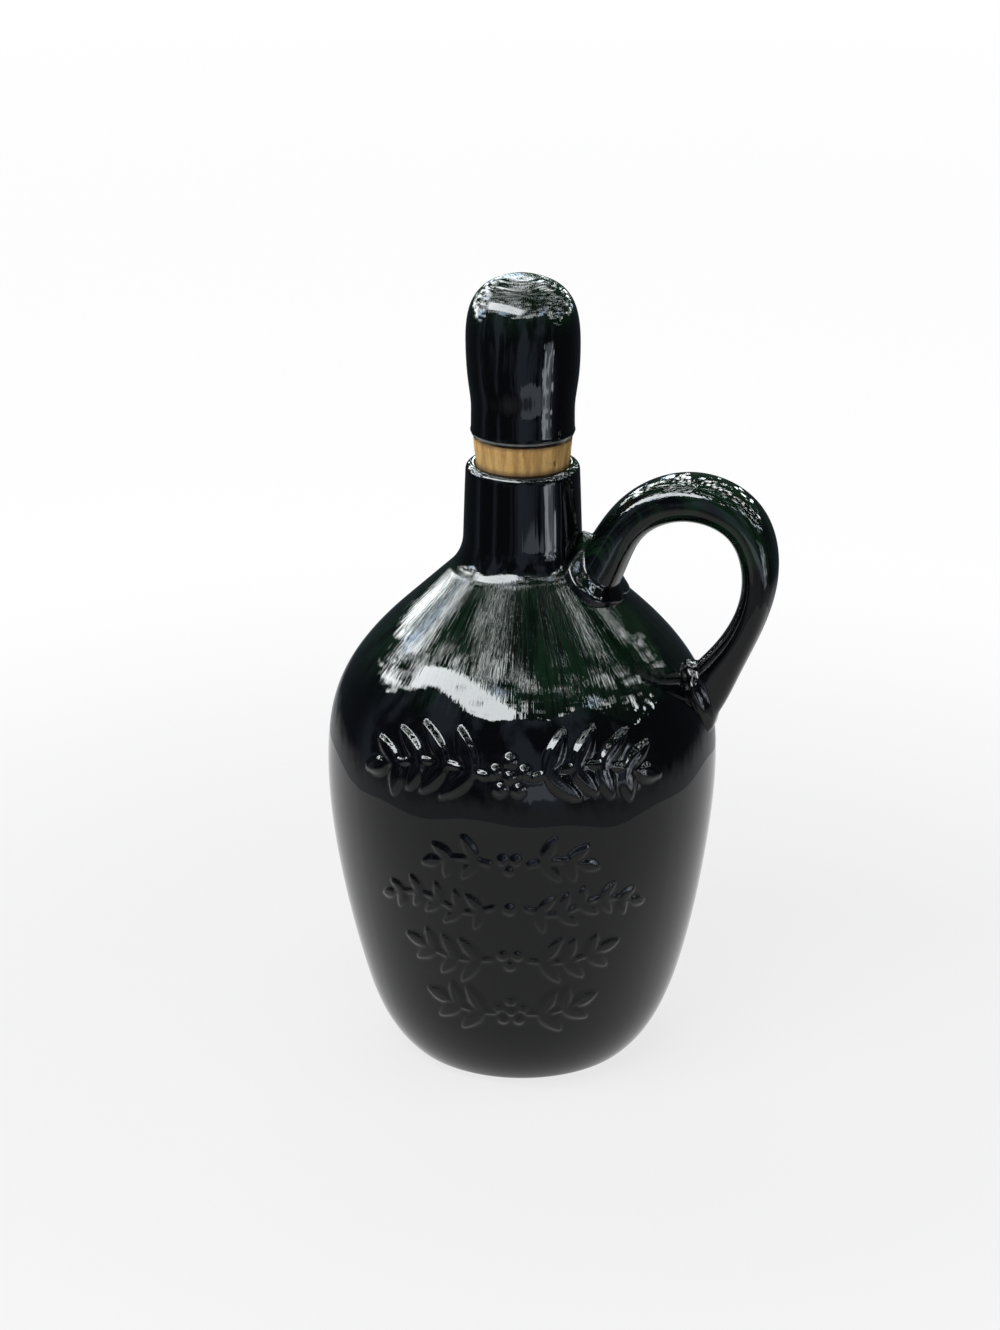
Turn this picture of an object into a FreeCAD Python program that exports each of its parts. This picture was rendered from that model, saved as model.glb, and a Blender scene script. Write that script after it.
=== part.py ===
import FreeCAD, Part
import math
import os

# A stoneware jug with one loop handle and a stopper: a glazed head on a tapered cork.
# Millimetres. The origin is the centre of the foot, on the surface the jug stands on.
# +Z points up along the wheel axis, and the handle is on the +X side.

# Jug body, outside
FOOT_RADIUS = 32.0
FOOT_RING_WIDTH = 6.0
FOOT_RECESS = 1.6
FOOT_BEVEL = 2.4
FOOT_CORNER_RADIUS = 8.0
LOWER_WALL_LEAN_DEG = 45.0
BELLY_RADIUS = 61.8
BELLY_Z = 97.0
SHOULDER_RADIUS = 38.2
SHOULDER_Z = 147.6
SHOULDER_LEAN_DEG = -47.5
# Radius and height of the points that the wall's curve passes between foot and shoulder
WALL_POINTS = [(52.1, 33.0), (58.9, 66.0), (BELLY_RADIUS, BELLY_Z), (58.0, 122.0), (49.4, 136.0)]

# Jug body, inside
WALL = 5.0
FLOOR_Z = 7.0
FLOOR_CORNER_RADIUS = 9.0
# Radius and height of the point of the outer wall beside which the inner wall starts
INNER_WALL_START = (46.9, 17.0)
INNER_NECK_ROUND = 12.0

# Neck
NECK_BASE_RADIUS = 18.8
NECK_TOP_RADIUS = 17.6
NECK_TOP_Z = 195.2
NECK_FILLET_RADIUS = 15.0
LIP_OUTER_ROUND = 2.2
LIP_INNER_ROUND = 0.6

# Cork
CORK_TOP_RADIUS = 15.3
CORK_BOTTOM_RADIUS = 12.4
CORK_LENGTH = 32.0
CORK_CHAMFER = 0.8
CORK_CLEARANCE = 0.10
TENON_RADIUS = 10.5
TENON_LENGTH = 12.0
GLUE_THICKNESS = 0.5

# Glazed stopper head
HEAD_BOTTOM_Z = 203.7
HEAD_TOP_Z = 253.9
HEAD_BOTTOM_RADIUS = 15.9
HEAD_BOTTOM_ROUND = 1.8
HEAD_WALL = 5.0
# Radius and height of the points that the head's side and dome pass
HEAD_POINTS = [(16.1, 212.0), (17.1, 222.0), (17.55, 232.0), (17.1, 240.5),
               (15.2, 246.8), (11.6, 251.0), (6.0, 253.4)]
# Radius and height of the point of the side beside which the head's hollow starts
HEAD_CAVITY_START = (16.6, 218.0)

# Handle
# Radius and height of points of its centre line, from under the neck to inside the wall
HANDLE_POINTS = [(21.4, 156.8), (25.2, 164.0), (34.3, 179.3), (52.3, 187.4), (68.8, 180.9),
                 (74.5, 163.5), (69.4, 143.9), (58.9, 126.2), (53.2, 117.4)]
# Share of the centre line, half thickness and half width of the strap there
HANDLE_SECTIONS = [(0.00, 8.4, 12.0), (0.07, 7.4, 11.2), (0.16, 6.6, 10.1), (0.36, 7.1, 9.8),
                   (0.62, 5.4, 8.8), (0.84, 5.9, 7.0), (0.93, 7.7, 6.4), (1.00, 8.2, 6.6)]
HANDLE_LOFT_SECTIONS = 16
HANDLE_ROOT_ROUND = 3.0
TOUCHING = 0.001
STRAP_SQUARENESS = 2.4
STRAP_OUTLINE_POINTS = 16

OFFSET_STATIONS = 9
AXIS = FreeCAD.Vector(0, 0, 1)
SIDEWAYS = FreeCAD.Vector(0, 1, 0)
ORIGIN = FreeCAD.Vector(0, 0, 0)


def rz(radius, height):
    """A point of a turned profile, drawn on the side away from the handle, where the seam lies."""
    return FreeCAD.Vector(-radius, 0, height)


def lean(angle_deg):
    """The upward direction at an angle from the vertical, outwards when it is positive."""
    angle = math.radians(angle_deg)
    return rz(math.sin(angle), math.cos(angle))


def line(start, end):
    """A straight edge."""
    return Part.LineSegment(start, end).toShape()


def smooth(points, start_direction, end_direction):
    """A spline curve through the points, with these directions at its ends."""
    curve = Part.BSplineCurve()
    curve.interpolate(points, InitialTangent=start_direction, FinalTangent=end_direction)
    return curve


def corner_round(before, corner, after, radius):
    """The arc that rounds a corner between two straight lines, and the arc's two ends."""
    to_before = (before - corner).normalize()
    to_after = (after - corner).normalize()
    half_angle = to_before.getAngle(to_after) / 2
    halfway = (to_before + to_after).normalize()
    start = corner + to_before * (radius / math.tan(half_angle))
    middle = corner + halfway * (radius / math.sin(half_angle) - radius)
    end = corner + to_after * (radius / math.tan(half_angle))
    return Part.Arc(start, middle, end).toShape(), start, end


def inside(curve, thickness, first, last):
    """Points at a wall's thickness inside a profile curve, along a stretch of it."""
    points = []
    for index in range(OFFSET_STATIONS):
        place = first + (last - first) * index / (OFFSET_STATIONS - 1)
        along = curve.tangent(place)[0]
        inward = FreeCAD.Vector(along.z, 0, -along.x)
        points.append(curve.value(place) + inward * thickness)
    return points


def turned(edges):
    """The solid that a closed profile sweeps round the wheel axis."""
    return Part.Face(Part.Wire(edges)).revolve(ORIGIN, AXIS, 360)


def outer_wall():
    """The round corner over the foot, and the curve of the wall up to the shoulder."""
    centre = rz(FOOT_RADIUS, FOOT_CORNER_RADIUS)
    end_angle = math.radians(LOWER_WALL_LEAN_DEG)
    middle_angle = (end_angle + math.pi / 2) / 2
    middle = centre + rz(math.cos(middle_angle), -math.sin(middle_angle)) * FOOT_CORNER_RADIUS
    end = centre + rz(math.cos(end_angle), -math.sin(end_angle)) * FOOT_CORNER_RADIUS
    corner = Part.Arc(rz(FOOT_RADIUS, 0), middle, end).toShape()
    points = [end] + [rz(*point) for point in WALL_POINTS] + [rz(SHOULDER_RADIUS, SHOULDER_Z)]
    wall = smooth(points, lean(LOWER_WALL_LEAN_DEG), lean(SHOULDER_LEAN_DEG))
    return corner, wall


def outer_neck():
    """The straight shoulder, the round at the neck's base, and that round's upper end."""
    shoulder = rz(SHOULDER_RADIUS, SHOULDER_Z)
    climb = (SHOULDER_RADIUS - NECK_BASE_RADIUS) / math.tan(math.radians(-SHOULDER_LEAN_DEG))
    base = rz(NECK_BASE_RADIUS, SHOULDER_Z + climb)
    top = rz(NECK_TOP_RADIUS, NECK_TOP_Z)
    base_round, round_start, round_end = corner_round(shoulder, base, top, NECK_FILLET_RADIUS)
    return [line(shoulder, round_start), base_round], round_end


def cork_radius(height):
    """The cork's radius at a height."""
    share = (height - HEAD_BOTTOM_Z + CORK_LENGTH) / CORK_LENGTH
    return CORK_BOTTOM_RADIUS + share * (CORK_TOP_RADIUS - CORK_BOTTOM_RADIUS)


def foot():
    """The foot ring's underside and the recess inside it, from the axis outwards."""
    ring_inner = FOOT_RADIUS - FOOT_RING_WIDTH
    recess_edge = rz(ring_inner - FOOT_BEVEL, FOOT_RECESS)
    return [line(rz(0, FOOT_RECESS), recess_edge),
            line(recess_edge, rz(ring_inner, 0)),
            line(rz(ring_inner, 0), rz(FOOT_RADIUS, 0))]


def jug_body():
    """The turned jug: foot ring, curved wall, straight shoulder, neck, cork seat and cavity."""
    foot_corner, wall = outer_wall()
    shoulder, neck_start = outer_neck()
    seat_bottom = rz(CORK_BOTTOM_RADIUS + CORK_CLEARANCE, HEAD_BOTTOM_Z - CORK_LENGTH)
    mouth = rz(cork_radius(NECK_TOP_Z) + CORK_CLEARANCE, NECK_TOP_Z)
    lip = rz(NECK_TOP_RADIUS, NECK_TOP_Z)
    lip_outer, neck_end, lip_start = corner_round(neck_start, lip, mouth, LIP_OUTER_ROUND)
    lip_inner, lip_end, seat_start = corner_round(lip, mouth, seat_bottom, LIP_INNER_ROUND)

    start = wall.parameter(rz(*INNER_WALL_START))
    inner_points = inside(wall, WALL, wall.LastParameter, start)
    downwards = wall.tangent(start)[0] * -1
    inner_wall = smooth(inner_points, lean(SHOULDER_LEAN_DEG) * -1, downwards)

    climb = (seat_bottom.x - inner_points[0].x) / math.tan(math.radians(-SHOULDER_LEAN_DEG))
    inner_base = FreeCAD.Vector(seat_bottom.x, 0, inner_points[0].z + climb)
    base_round, bore_end, base_end = corner_round(seat_bottom, inner_base, inner_points[0],
                                                  INNER_NECK_ROUND)

    wall_foot = inner_points[-1]
    floor_corner = wall_foot + downwards * ((wall_foot.z - FLOOR_Z) / -downwards.z)
    floor_round, floor_start, floor_end = corner_round(wall_foot, floor_corner, rz(0, FLOOR_Z),
                                                       FLOOR_CORNER_RADIUS)
    outside = foot() + [foot_corner, wall.toShape()] + shoulder
    neck = [line(neck_start, neck_end), lip_outer, line(lip_start, lip_end), lip_inner,
            line(seat_start, seat_bottom), line(seat_bottom, bore_end), base_round]
    cavity = [line(base_end, inner_points[0]), inner_wall.toShape(), line(wall_foot, floor_start),
              floor_round, line(floor_end, rz(0, FLOOR_Z)), line(rz(0, FLOOR_Z), rz(0, FOOT_RECESS))]
    return turned(outside + neck + cavity)


def body_form():
    """The jug's outside as one full form, which the handle's feet are cut to."""
    foot_corner, wall = outer_wall()
    shoulder, neck_start = outer_neck()
    top = rz(NECK_TOP_RADIUS, NECK_TOP_Z)
    closing = [line(neck_start, top), line(top, rz(0, NECK_TOP_Z)),
               line(rz(0, NECK_TOP_Z), rz(0, 0)), line(rz(0, 0), rz(FOOT_RADIUS, 0))]
    return turned([foot_corner, wall.toShape()] + shoulder + closing)


def strap_outline(place, along, half_thickness, half_width):
    """The strap's outline square to the centre line: an oval with fuller corners."""
    across = along.cross(SIDEWAYS)
    points = []
    for index in range(STRAP_OUTLINE_POINTS):
        angle = 2 * math.pi * index / STRAP_OUTLINE_POINTS
        thick = math.copysign(abs(math.cos(angle)) ** (2 / STRAP_SQUARENESS), math.cos(angle))
        wide = math.copysign(abs(math.sin(angle)) ** (2 / STRAP_SQUARENESS), math.sin(angle))
        points.append(place + across * (thick * half_thickness) + SIDEWAYS * (wide * half_width))
    outline = Part.BSplineCurve()
    outline.interpolate(points, PeriodicFlag=True)
    return Part.Wire(outline.toShape())


def touches(edge, solid):
    """Whether an edge runs on a solid's surface, judged at the edge's middle."""
    middle = edge.valueAt((edge.FirstParameter + edge.LastParameter) / 2)
    return solid.Shells[0].distToShape(Part.Vertex(middle))[0] < TOUCHING


def handle():
    """The pulled strap, lofted along its centre line, with both roots smoothed on to the jug."""
    centre_line = Part.BSplineCurve()
    centre_line.interpolate([FreeCAD.Vector(x, 0, z) for x, z in HANDLE_POINTS])
    centre_edge = centre_line.toShape()
    sizes = Part.BSplineCurve()
    sizes.interpolate(Points=[FreeCAD.Vector(*section) for section in HANDLE_SECTIONS],
                      Parameters=[section[0] for section in HANDLE_SECTIONS])
    outlines = []
    for index in range(HANDLE_LOFT_SECTIONS):
        share = (1 - math.cos(math.pi * index / (HANDLE_LOFT_SECTIONS - 1))) / 2
        place = centre_edge.getParameterByLength(share * centre_edge.Length)
        along = centre_line.tangent(place)[0]
        size = sizes.value(share)
        outlines.append(strap_outline(centre_line.value(place), along, size.y, size.z))
    strap = Part.makeLoft(outlines, True, False)
    body = body_form()
    joined = body.fuse(strap)
    seams = [edge for edge in joined.Edges if touches(edge, body) and touches(edge, strap)]
    return joined.makeFillet(HANDLE_ROOT_ROUND, seams).cut(body)


def stopper_head():
    """The glazed head: a hollow bulb, with the socket for the cork in its flat underside."""
    socket_radius = TENON_RADIUS + GLUE_THICKNESS
    socket_top = rz(socket_radius, HEAD_BOTTOM_Z + TENON_LENGTH)
    socket_mouth = rz(socket_radius, HEAD_BOTTOM_Z)
    edge = rz(HEAD_BOTTOM_RADIUS, HEAD_BOTTOM_Z)
    side_start = rz(*HEAD_POINTS[0])
    edge_round, round_start, round_end = corner_round(socket_mouth, edge, side_start,
                                                      HEAD_BOTTOM_ROUND)
    points = [rz(*point) for point in HEAD_POINTS] + [rz(0, HEAD_TOP_Z)]
    side = smooth(points, side_start - round_end, rz(-1, 0))
    start = side.parameter(rz(*HEAD_CAVITY_START))
    cavity_points = inside(side, HEAD_WALL, side.LastParameter, start)
    cavity = smooth(cavity_points, rz(1, 0), side.tangent(start)[0] * -1)
    return turned([line(socket_mouth, round_start), edge_round, line(round_end, side_start),
                   side.toShape(), line(points[-1], cavity_points[0]), cavity.toShape(),
                   line(cavity_points[-1], socket_top), line(socket_top, socket_mouth)])


def stopper_cork():
    """The tapered cork, chamfered below, with a tenon that goes up into the head."""
    bottom = HEAD_BOTTOM_Z - CORK_LENGTH
    tenon_top = HEAD_BOTTOM_Z + TENON_LENGTH
    corners = [rz(0, bottom),
               rz(CORK_BOTTOM_RADIUS - CORK_CHAMFER, bottom),
               rz(cork_radius(bottom + CORK_CHAMFER), bottom + CORK_CHAMFER),
               rz(CORK_TOP_RADIUS, HEAD_BOTTOM_Z),
               rz(TENON_RADIUS, HEAD_BOTTOM_Z),
               rz(TENON_RADIUS, tenon_top),
               rz(0, tenon_top),
               rz(0, bottom)]
    return turned(Part.makePolygon(corners).Edges)


def stopper_glue():
    """The sleeve of set adhesive between the cork's tenon and the head's socket."""
    outer_radius = TENON_RADIUS + GLUE_THICKNESS
    tenon_top = HEAD_BOTTOM_Z + TENON_LENGTH
    corners = [rz(TENON_RADIUS, HEAD_BOTTOM_Z), rz(outer_radius, HEAD_BOTTOM_Z),
               rz(outer_radius, tenon_top), rz(TENON_RADIUS, tenon_top),
               rz(TENON_RADIUS, HEAD_BOTTOM_Z)]
    return turned(Part.makePolygon(corners).Edges)


pieces = {
    "jug_body": jug_body(),
    "handle": handle(),
    "stopper_head": stopper_head(),
    "stopper_cork": stopper_cork(),
    "stopper_glue": stopper_glue(),
}
os.makedirs("parts", exist_ok=True)
for name, shape in pieces.items():
    shape.exportStep("parts/" + name + ".step")
    print(name, "valid", shape.isValid(), "solids", len(shape.Solids), "volume", round(shape.Volume))
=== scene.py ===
"""Looks for the black-glazed stoneware jug and its stopper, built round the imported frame.

Lengths in the classes of pieces and finishes are millimetres, as in the part's source, and
become metres in the meshes and shaders. The studio's lengths are metres. The handle is on the
+X side and the camera looks from the -Y side.
"""

import logging
import math
from dataclasses import dataclass, field
from enum import Enum

import bmesh
import bpy
import numpy as np
from mathutils import Matrix, Vector

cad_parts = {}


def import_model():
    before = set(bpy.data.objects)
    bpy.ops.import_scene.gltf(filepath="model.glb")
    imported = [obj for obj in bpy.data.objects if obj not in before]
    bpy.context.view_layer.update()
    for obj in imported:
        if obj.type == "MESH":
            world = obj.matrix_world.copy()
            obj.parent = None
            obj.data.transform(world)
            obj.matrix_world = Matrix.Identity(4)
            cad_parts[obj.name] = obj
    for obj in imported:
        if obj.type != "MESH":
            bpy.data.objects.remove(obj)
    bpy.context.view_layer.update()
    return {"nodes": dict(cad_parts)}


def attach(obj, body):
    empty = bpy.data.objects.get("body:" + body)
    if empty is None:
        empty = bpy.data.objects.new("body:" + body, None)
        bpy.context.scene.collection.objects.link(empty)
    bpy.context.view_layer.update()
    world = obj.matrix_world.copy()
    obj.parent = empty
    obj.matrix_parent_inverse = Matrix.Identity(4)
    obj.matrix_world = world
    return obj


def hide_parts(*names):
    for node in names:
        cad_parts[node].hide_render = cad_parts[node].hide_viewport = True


MM = 0.001
WEDGES = 8
MERGE_DISTANCE = 1e-3
FEWEST_ARC_STEPS = 5
TINY = 1e-9
AIM_HEIGHT = 0.14
LEAF_SEED = 11
# A point is a radius and a height, or a place round the wall and a height. A span is where a
# rise starts and where it ends, or the least and the most. A grain is how fine a noise is, per
# metre, and its detail. A wave is its size, lobes, climb and phase.
Point = tuple[float, float]
Span = tuple[float, float]
Grain = tuple[float, float]
Wave = tuple[float, float, float, float]
Colour = tuple[float, float, float]
log = logging.getLogger("jug")


class Body(Enum):
    """The moving bodies of the frame."""

    JUG = "jug"
    STOPPER = "stopper"


class Motif(Enum):
    """The shapes that the raised ornament is modelled from."""

    LEAF = "leaf"
    STEM = "stem"
    BERRY = "berry"


# Curves and profiles


class Spline:
    """A smooth curve through points, twice differentiable, in any number of dimensions."""

    def __init__(
        self,
        points: np.ndarray,
        start: np.ndarray | None = None,
        end: np.ndarray | None = None,
        places: np.ndarray | None = None,
    ) -> None:
        """Solves for the slopes at the points.

        Args:
            points: One row per point.
            start: The slope at the first point, or None for a free end.
            end: The slope at the last point, or None for a free end.
            places: The parameter at each point, or None for the length along the chords.
        """
        self.points = np.asarray(points, float)
        if places is None:
            steps = np.linalg.norm(np.diff(self.points, axis=0), axis=1)
            places = np.concatenate([[0.0], np.cumsum(steps)])
        self.places = np.asarray(places, float)
        count = len(self.points)
        gaps = np.diff(self.places)
        chords = np.diff(self.points, axis=0) / gaps[:, None]
        matrix = np.zeros((count, count))
        right = np.zeros_like(self.points)
        for row in range(1, count - 1):
            before, after = gaps[row - 1], gaps[row]
            matrix[row, row - 1 : row + 2] = after, 2 * (before + after), before
            right[row] = 3 * (after * chords[row - 1] + before * chords[row])
        for row, near, slope, chord in ((0, 1, start, chords[0]), (-1, -2, end, chords[-1])):
            matrix[row, row] = 1.0 if slope is not None else 2.0
            matrix[row, near] = 0.0 if slope is not None else 1.0
            right[row] = slope if slope is not None else 3 * chord
        self.slopes = np.linalg.solve(matrix, right)

    @property
    def length(self) -> float:
        """The last parameter, close to the curve's length when none was given."""
        return float(self.places[-1])

    def at(self, places: np.ndarray) -> np.ndarray:
        """The curve's points at these parameters.

        Args:
            places: The parameters.

        Returns:
            One row per parameter.
        """
        places = np.clip(np.asarray(places, float), self.places[0], self.places[-1])
        index = np.clip(np.searchsorted(self.places, places) - 1, 0, len(self.places) - 2)
        gap = (self.places[index + 1] - self.places[index])[:, None]
        share = (places - self.places[index])[:, None] / gap
        rest = 1 - share
        return (
            self.points[index] * (1 + 2 * share) * rest**2
            + self.slopes[index] * gap * share * rest**2
            + self.points[index + 1] * (3 - 2 * share) * share**2
            - self.slopes[index + 1] * gap * rest * share**2
        )


def leaning(angle_deg: float) -> np.ndarray:
    """The upward direction of a profile at an angle from the vertical, outwards if positive."""
    angle = math.radians(angle_deg)
    return np.array([math.sin(angle), math.cos(angle)])


class Outline:
    """A turned profile of radius and height, drawn point by point from its start."""

    def __init__(self, radius: float, height: float, spacing: float) -> None:
        """Starts the profile.

        Args:
            radius: The first point's radius.
            height: The first point's height.
            spacing: The distance between the points that follow.
        """
        self.spacing = spacing
        self.points = [np.array([radius, height], float)]

    def line(self, radius: float, height: float) -> None:
        """A straight stretch to a point.

        Args:
            radius: The point's radius.
            height: The point's height.
        """
        start, end = self.points[-1], np.array([radius, height], float)
        count = max(1, round(float(np.linalg.norm(end - start)) / self.spacing))
        self.points += [start + (end - start) * step / count for step in range(1, count + 1)]

    def arc(self, centre: Point, radius: float, start_deg: float, end_deg: float) -> None:
        """A round about a centre.

        Args:
            centre: The radius and height of the centre.
            radius: The round's own radius.
            start_deg: The angle it starts at, from straight outwards, upwards positive.
            end_deg: The angle it ends at.
        """
        turn = math.radians(end_deg - start_deg)
        count = max(FEWEST_ARC_STEPS, round(abs(turn) * radius / self.spacing))
        for step in range(count + 1):
            angle = math.radians(start_deg) + turn * step / count
            reach = np.array([math.cos(angle), math.sin(angle)]) * radius
            if step or np.linalg.norm(np.array(centre) + reach - self.points[-1]) > MERGE_DISTANCE:
                self.points.append(np.array(centre) + reach)

    def rounded(self, corner: Point, after: Point, radius: float) -> None:
        """A straight stretch towards a corner and the round that turns it.

        Args:
            corner: The radius and height of the corner.
            after: A point on the line that follows the corner.
            radius: The round's own radius.
        """
        tip = np.array(corner, float)
        back = (self.points[-1] - tip) / np.linalg.norm(self.points[-1] - tip)
        ahead = (np.array(after) - tip) / np.linalg.norm(np.array(after) - tip)
        half = math.acos(float(np.clip(back @ ahead, -1, 1))) / 2
        halfway = (back + ahead) / np.linalg.norm(back + ahead)
        centre = tip + halfway * radius / math.sin(half)
        begin = tip + back * radius / math.tan(half)
        finish = tip + ahead * radius / math.tan(half)
        self.line(*begin)
        first = math.degrees(math.atan2(*(begin - centre)[::-1]))
        last = math.degrees(math.atan2(*(finish - centre)[::-1]))
        last += 360 * round((first - last) / 360)
        self.arc(tuple(centre), radius, first, last)

    def curve(self, through: list[Point], start_lean: np.ndarray, end_lean: np.ndarray) -> None:
        """A smooth stretch from the last point.

        Args:
            through: The radius and height of each point that it passes.
            start_lean: Its direction at its start.
            end_lean: Its direction at its end.
        """
        spline = Spline(np.array([self.points[-1], *through]), start_lean, end_lean)
        count = round(spline.length / self.spacing)
        self.points += list(spline.at(np.linspace(0, spline.length, count + 1)))[1:]

    def array(self) -> np.ndarray:
        """The points as one array of radius and height."""
        return np.array(self.points)


class Turned:
    """The surface that a profile sweeps round the wheel axis, for measuring from."""

    def __init__(self, profile: np.ndarray) -> None:
        """Keeps the profile's stretches.

        Args:
            profile: Radius and height of the points, from the foot upwards.
        """
        self.starts = profile[:-1]
        self.steps = np.diff(profile, axis=0)
        self.lengths = (self.steps**2).sum(axis=1)
        directions = self.steps / np.sqrt(self.lengths)[:, None]
        self.normals = np.stack([directions[:, 1], -directions[:, 0]], axis=1)

    def measure(self, points: np.ndarray) -> tuple[np.ndarray, np.ndarray]:
        """How far points stand off the surface, and which way it faces there.

        Args:
            points: One row of x, y and z per point.

        Returns:
            The distances, negative inside, and the surface's outward directions.
        """
        radius = np.maximum(np.hypot(points[:, 0], points[:, 1]), TINY)
        flat = np.stack([radius, points[:, 2]], axis=1)
        offset = flat[:, None] - self.starts[None]
        share = np.clip((offset * self.steps).sum(axis=2) / self.lengths, 0, 1)
        reach = offset - share[..., None] * self.steps
        nearest = np.argmin((reach**2).sum(axis=2), axis=1)
        rows = np.arange(len(points))
        normal = self.normals[nearest]
        distance = (reach[rows, nearest] * normal).sum(axis=1)
        outward = points[:, :2] / radius[:, None]
        return distance, np.column_stack([outward * normal[:, :1], normal[:, 1]])


def inset(profile: np.ndarray, wall: float) -> np.ndarray:
    """A profile moved in by the thickness of the wall.

    Args:
        profile: Radius and height of its points, with the clay on their left.
        wall: The thickness.

    Returns:
        The moved points.
    """
    slope = np.gradient(profile, axis=0)
    slope /= np.linalg.norm(slope, axis=1)[:, None]
    return profile + np.stack([-slope[:, 1], slope[:, 0]], axis=1) * wall


def ramp(values: np.ndarray, low: float, high: float) -> np.ndarray:
    """A straight rise from 0 to 1 as values go from low to high, level on both sides."""
    return np.clip((values - low) / (high - low), 0, 1)


def wrapped(angles: np.ndarray) -> np.ndarray:
    """Angles brought to between minus and plus half a turn."""
    return (angles + math.pi) % (2 * math.pi) - math.pi


def ripple(angles: np.ndarray, heights: np.ndarray | float, waves: tuple[Wave, ...]) -> np.ndarray:
    """The slow unevenness of hand-made clay, as a sum of waves.

    Args:
        angles: The direction of each point.
        heights: The height of each point.
        waves: Each wave's size, its lobes in a turn, the height that turns it by one radian, and its phase.

    Returns:
        The sum at each point.
    """
    return sum(size * np.sin(lobes * angles + heights / climb + phase) for size, lobes, climb, phase in waves)


# Meshes


def coordinates(mesh: bmesh.types.BMesh) -> np.ndarray:
    """The places of a mesh's vertices, one row each."""
    return np.array([vert.co for vert in mesh.verts], float)


def place(mesh: bmesh.types.BMesh, points: np.ndarray) -> None:
    """Moves a mesh's vertices.

    Args:
        mesh: The mesh.
        points: One row of x, y and z per vertex.
    """
    for vert, point in zip(mesh.verts, points):
        vert.co = point


def push(mesh: bmesh.types.BMesh, distances: np.ndarray) -> None:
    """Moves a mesh's vertices out along their own directions.

    Args:
        mesh: The mesh.
        distances: How far each vertex goes.
    """
    normals = np.array([vert.normal for vert in mesh.verts])
    place(mesh, coordinates(mesh) + normals * distances[:, None])


def polar(mesh: bmesh.types.BMesh) -> tuple[np.ndarray, np.ndarray, np.ndarray]:
    """The radius, azimuth and height of a mesh's vertices."""
    points = coordinates(mesh)
    return np.hypot(points[:, 0], points[:, 1]), np.arctan2(points[:, 1], points[:, 0]), points[:, 2]


def spun(profile: np.ndarray, arcs: list[tuple[float, int]], start_deg: float = 0.0) -> bmesh.types.BMesh:
    """The mesh that a profile sweeps round the wheel axis.

    Each arc is spun as one wedge, and the wedge is then repeated, which is much quicker than
    spinning the whole turn.

    Args:
        profile: Radius and height of its points, from the axis and back to it.
        arcs: The angle of each arc of the turn in degrees, and the steps in each of its wedges.
        start_deg: The direction that the first arc starts in.

    Returns:
        The closed mesh, in millimetres, with its faces outwards.
    """
    mesh = bmesh.new()
    for angle_deg, steps in arcs:
        wedge = bmesh.new()
        turn = Matrix.Rotation(math.radians(start_deg), 4, "Z")
        verts = [wedge.verts.new(turn @ Vector((radius, 0, height))) for radius, height in profile]
        edges = [wedge.edges.new(pair) for pair in zip(verts, verts[1:])]
        share = math.radians(angle_deg) / WEDGES
        about = {"cent": (0, 0, 0), "axis": (0, 0, 1), "use_merge": False}
        bmesh.ops.spin(wedge, geom=[*verts, *edges], angle=share, steps=steps, **about)
        everything = [*wedge.verts, *wedge.edges, *wedge.faces]
        rest = share * (WEDGES - 1)
        bmesh.ops.spin(wedge, geom=everything, angle=rest, steps=WEDGES - 1, use_duplicate=True, **about)
        carrier = bpy.data.meshes.new("wedge")
        wedge.to_mesh(carrier)
        wedge.free()
        mesh.from_mesh(carrier)
        bpy.data.meshes.remove(carrier)
        start_deg += angle_deg
    bmesh.ops.remove_doubles(mesh, verts=mesh.verts, dist=MERGE_DISTANCE)
    bmesh.ops.recalc_face_normals(mesh, faces=mesh.faces)
    mesh.verts.ensure_lookup_table()
    mesh.normal_update()
    return mesh


def linked(name: str, data: bpy.types.ID) -> bpy.types.Object:
    """Puts a new object into the scene.

    Args:
        name: Its name.
        data: Its mesh, light or camera.

    Returns:
        The object.
    """
    made = bpy.data.objects.new(name, data)
    bpy.context.scene.collection.objects.link(made)
    return made


def piece(
    mesh: bmesh.types.BMesh,
    name: str,
    body: Body,
    node: str,
    slot: str,
    *finishes: "BlackGlaze | BareClay | Cork",
) -> bpy.types.Object:
    """Makes a finished mesh a smooth piece that rides on a body and stands for a node.

    Args:
        mesh: The mesh in millimetres, which is used up.
        name: The piece's name.
        body: The body that it moves with.
        node: The node of the frame that it replaces.
        slot: The record's material slot; not used.
        finishes: The finishes that its faces have, in the order of their material numbers.

    Returns:
        The piece.
    """
    bmesh.ops.transform(mesh, matrix=Matrix.Scale(MM, 4), verts=mesh.verts)
    bmesh.ops.recalc_face_normals(mesh, faces=mesh.faces)
    for face in mesh.faces:
        face.smooth = True
    data = bpy.data.meshes.new(name)
    mesh.to_mesh(data)
    mesh.free()
    made = linked(name, data)
    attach(made, body.value)
    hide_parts(node)
    for finish in finishes:
        data.materials.append(finish.build())
    log.info("%s: %d vertices, rides on %s", name, len(data.vertices), body.value)
    return made


# Shaders


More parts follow.
